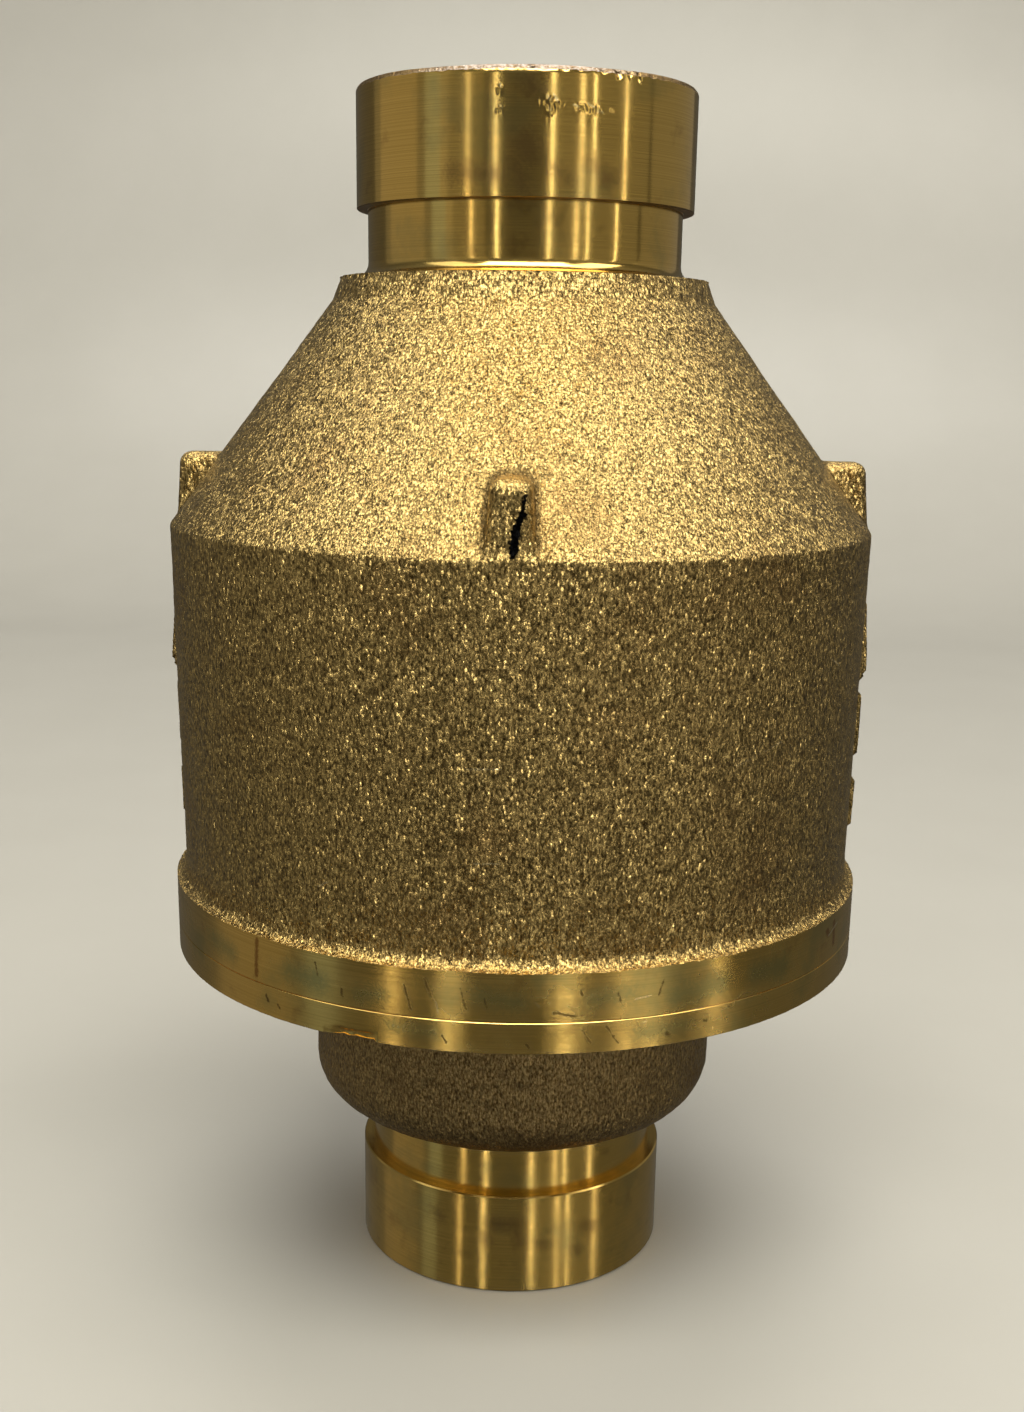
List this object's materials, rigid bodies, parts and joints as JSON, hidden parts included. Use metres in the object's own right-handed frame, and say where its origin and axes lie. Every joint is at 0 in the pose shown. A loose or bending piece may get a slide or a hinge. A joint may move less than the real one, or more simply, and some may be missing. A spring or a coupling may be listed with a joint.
{
  "type": "non-return valve",
  "caption": "Upright cast and turned brass non-return valve with grooved pipe ends, spanner lugs and a spring-loaded guided disc inside.",
  "frame": {"origin": "centre of the inlet's end face, on which the valve stands", "axes": "+Z along the flow axis from inlet to outlet, -Y towards the viewer of the picture, spanner lugs on the X and Y axes, flow arrows on +X and -X"},
  "size_m": [0.1052, 0.1052, 0.1755],
  "materials": {
    "upper_casting": "sand-cast brass with turned ends",
    "lower_casting": "sand-cast brass hub with turned plate and pipe end",
    "turned_brass": "turned",
    "stainless_steel": "drawn or turned",
    "seal_rubber": "moulded",
    "bush_plastic": "machined plastic"
  },
  "bodies": {
    "valve_body": {"body": "upper_casting", "inlet_end": "lower_casting", "body_o_ring": "seal_rubber", "seat_ring": "turned_brass", "seat_o_ring": "seal_rubber", "lower_guide": "turned_brass", "lower_guide_bush": "bush_plastic", "upper_guide": "turned_brass", "upper_guide_bush": "bush_plastic", "guide_retaining_ring": "stainless_steel", "upper_spring_seat": "stainless_steel", "spring": "stainless_steel"},
    "closing_disc": {"stem": "stainless_steel", "disc": "turned_brass", "disc_seal": "seal_rubber", "seal_retainer": "turned_brass", "lock_washer": "stainless_steel", "stem_nut": "stainless_steel", "stop_sleeve": "turned_brass", "stem_circlip": "stainless_steel", "lower_spring_seat": "stainless_steel"}
  },
  "joints": [
    {"name": "disc_lift", "type": "slide", "parent": "valve_body", "child": "closing_disc", "axis": [0, 0, 1], "range_m": [0, 0.012], "stiffness_N_per_m": 400, "springref_m": -0.01, "deforming": ["spring"]}
  ]
}
